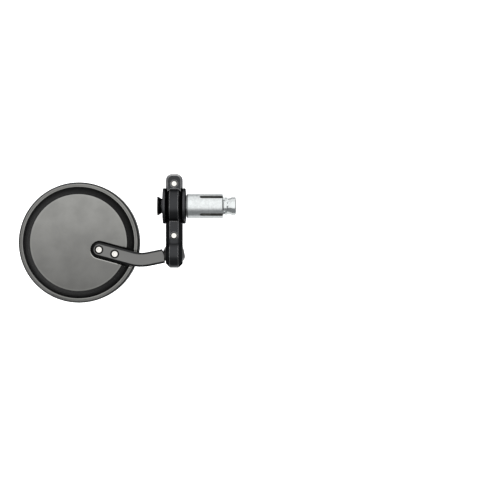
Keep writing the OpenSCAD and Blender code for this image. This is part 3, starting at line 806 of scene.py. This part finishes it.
class BARMIRROR_OT_bolt(bpy.types.Operator):
    """Cut the expander bolt's thread in place of its plain shank"""
    bl_idname = "barmirror.bolt"
    bl_label = "Thread Bolt"

    def execute(self, context):
        finish = context.scene.bar_mirror_finish
        thread = context.scene.bar_mirror_thread
        oxide = black_oxide("bolt_oxide", finish)
        low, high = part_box("expander_bolt")
        crest = self.shank_radius()
        body = self.bolt_body(thread, crest, oxide)
        runout = 0.6 * MM
        coil = grown("bolt_thread", thread_tree(), {
            "Crest Radius": crest, "Pitch": thread.pitch, "Depth": thread.depth,
            "Start": thread.start + 0.5 * thread.pitch,
            "Length": high[0] - runout - thread.start - thread.pitch, "Material": oxide})
        closed_outwards(coil.data)
        for piece in (body, coil):
            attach(piece, "bolt")
        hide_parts("expander_bolt")
        return {"FINISHED"}

    def shank_radius(self):
        """Radius of the plain shank, read from the bolt's far half."""
        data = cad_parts["expander_bolt"].data
        far_half = 10 * MM
        return max(math.hypot(v.co.y, v.co.z) for v in data.vertices if v.co.x > far_half)

    def bolt_body(self, thread, crest, material):
        """The bolt's own form, with its shank turned down to the thread's root."""
        work = bmesh.new()
        work.from_mesh(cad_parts["expander_bolt"].data)
        bmesh.ops.remove_doubles(work, verts=work.verts, dist=WELD)
        shoulder, past_start = 0.3 * MM, 0.1 * MM
        for x in (thread.start, thread.start + shoulder):
            everything = list(work.verts) + list(work.edges) + list(work.faces)
            bmesh.ops.bisect_plane(work, geom=everything, plane_co=(x, 0, 0), plane_no=(1, 0, 0))
        root = crest - thread.depth
        for vert in work.verts:
            radius = math.hypot(vert.co.y, vert.co.z)
            if vert.co.x > thread.start + past_start and radius > root:
                vert.co.y *= root / radius
                vert.co.z *= root / radius
        mesh = bpy.data.meshes.new("threaded_bolt")
        work.to_mesh(mesh)
        work.free()
        mesh.materials.append(material)
        body = bpy.data.objects.new("threaded_bolt", mesh)
        bpy.context.collection.objects.link(body)
        return body


class BARMIRROR_OT_studio(bpy.types.Operator):
    """Set up the pale floor, the soft lights and the camera"""
    bl_idname = "barmirror.studio"
    bl_label = "Set Up Studio"

    def execute(self, context):
        studio = context.scene.bar_mirror_studio
        low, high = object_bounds()
        self.paper_sweep(low[2] - studio.floor_drop)
        self.soft_box("front_box", (-0.05, -0.6, 0.1), (-0.03, 0, 0), 1.2, 1.0, studio.front_power)
        self.soft_box("top_box", (-0.02, -0.2, 0.8), (-0.02, 0, 0), 1.4, 0.9, studio.top_power)
        self.soft_box("high_back_box", (0, 0.68, 0.42), (0, 0, 0), 1.6, 0.75, studio.back_power)
        low_back_power = 1.25 * studio.back_power
        self.soft_box("low_back_box", (0, 0.6, -0.55), (0, 0, 0), 1.6, 1.15, low_back_power)
        self.surroundings()
        self.camera(context, studio)
        context.scene.view_settings.view_transform = "Standard"
        return {"FINISHED"}

    def paper_sweep(self, floor_z):
        """One sheet of paper that runs along the floor and curves up behind."""
        half_width, front, back, radius, height = 2.0, -2.0, 1.0, 0.5, 1.6
        steps = 24
        outline = [(front, floor_z), (back - radius, floor_z)]
        for i in range(1, steps + 1):
            turn = math.pi / 2 * i / steps
            along = back - radius + radius * math.sin(turn)
            outline.append((along, floor_z + radius * (1 - math.cos(turn))))
        outline.append((back, floor_z + height))
        points = [(x, y, z) for y, z in outline for x in (-half_width, half_width)]
        faces = [(2 * i, 2 * i + 1, 2 * i + 3, 2 * i + 2) for i in range(len(outline) - 1)]
        mesh = bpy.data.meshes.new("paper_sweep")
        mesh.from_pydata(points, [], faces)
        mesh.materials.append(pale_paper("pale_paper"))
        mesh.shade_smooth()
        sweep = bpy.data.objects.new("paper_sweep", mesh)
        bpy.context.collection.objects.link(sweep)
        sweep.visible_glossy = False
        sweep.visible_shadow = False
        sweep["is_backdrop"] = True

    def soft_box(self, name, place, target, width, height, power):
        """A soft rectangular light at a place, turned to a target. The camera doesn't see it."""
        light = bpy.data.lights.new(name, "AREA")
        light.shape = "RECTANGLE"
        light.size = width
        light.size_y = height
        light.energy = power
        lamp = bpy.data.objects.new(name, light)
        lamp.location = place
        lamp.visible_camera = False
        aim(lamp, target)
        bpy.context.collection.objects.link(lamp)

    def surroundings(self):
        """Dim grey surroundings for metal to reflect, and white where the camera sees past the paper."""
        world = bpy.data.worlds.new("studio_room")
        world.use_nodes = True
        bench = Bench(world.node_tree)
        lit = world.node_tree.nodes["Background"]
        room_colour, room_strength = (0.95, 0.97, 1.0, 1), 0.25
        lit.inputs["Color"].default_value = room_colour
        lit.inputs["Strength"].default_value = room_strength
        paper = bench.node("ShaderNodeBackground", {}, {"Color": (1, 1, 1, 1), "Strength": 1.0})
        seen = bench.node("ShaderNodeLightPath").outputs["Is Camera Ray"]
        both = bench.node("ShaderNodeMixShader", {}, {0: seen, 1: lit.outputs[0], 2: paper.outputs[0]})
        bench.put(world.node_tree.nodes["World Output"].inputs["Surface"], both.outputs[0])
        bpy.context.scene.world = world

    def camera(self, context, studio):
        """The photograph's camera: level, square on to the mirror's back."""
        data = bpy.data.cameras.new("photo_camera")
        data.sensor_width = 36.0
        data.lens = data.sensor_width * studio.camera_distance / studio.frame_width
        view = bpy.data.objects.new("photo_camera", data)
        frame_centre_x, frame_centre_z = 0.0344, -0.0225
        view.location = (frame_centre_x, -studio.camera_distance, frame_centre_z)
        view.rotation_euler = (math.radians(90), 0, 0)
        bpy.context.collection.objects.link(view)
        context.scene.camera = view


class BARMIRROR_PT_panel(bpy.types.Panel):
    """Lists the steps that dress the mirror"""
    bl_idname = "BARMIRROR_PT_panel"
    bl_label = "Bar Mirror"
    bl_space_type = "VIEW_3D"
    bl_region_type = "UI"
    bl_category = "Bar Mirror"

    def draw(self, context):
        layout = self.layout
        for step in STEPS:
            layout.operator(step.bl_idname)
        for group in ("bar_mirror_finish", "bar_mirror_thread", "bar_mirror_studio"):
            box = layout.box()
            settings = getattr(context.scene, group)
            for name in settings.__annotations__:
                box.prop(settings, name)


SETTINGS = {
    "bar_mirror_finish": BarMirrorFinish,
    "bar_mirror_thread": BarMirrorThread,
    "bar_mirror_studio": BarMirrorStudio,
}
STEPS = (
    BARMIRROR_OT_housing,
    BARMIRROR_OT_arm,
    BARMIRROR_OT_link,
    BARMIRROR_OT_sleeve,
    BARMIRROR_OT_screws,
    BARMIRROR_OT_glass,
    BARMIRROR_OT_bolt,
    BARMIRROR_OT_studio,
)


def register():
    for kind in (*SETTINGS.values(), *STEPS, BARMIRROR_PT_panel):
        bpy.utils.register_class(kind)
    for name, kind in SETTINGS.items():
        setattr(bpy.types.Scene, name, bpy.props.PointerProperty(type=kind))


def unregister():
    for name in SETTINGS:
        delattr(bpy.types.Scene, name)
    for kind in (BARMIRROR_PT_panel, *reversed(STEPS), *reversed(list(SETTINGS.values()))):
        bpy.utils.unregister_class(kind)


def main():
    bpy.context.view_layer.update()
    register()
    bpy.ops.barmirror.housing()
    bpy.ops.barmirror.arm()
    bpy.ops.barmirror.link()
    bpy.ops.barmirror.sleeve()
    bpy.ops.barmirror.screws()
    bpy.ops.barmirror.glass()
    bpy.ops.barmirror.bolt()
    bpy.ops.barmirror.studio()


if __name__ == "__main__":
    main()
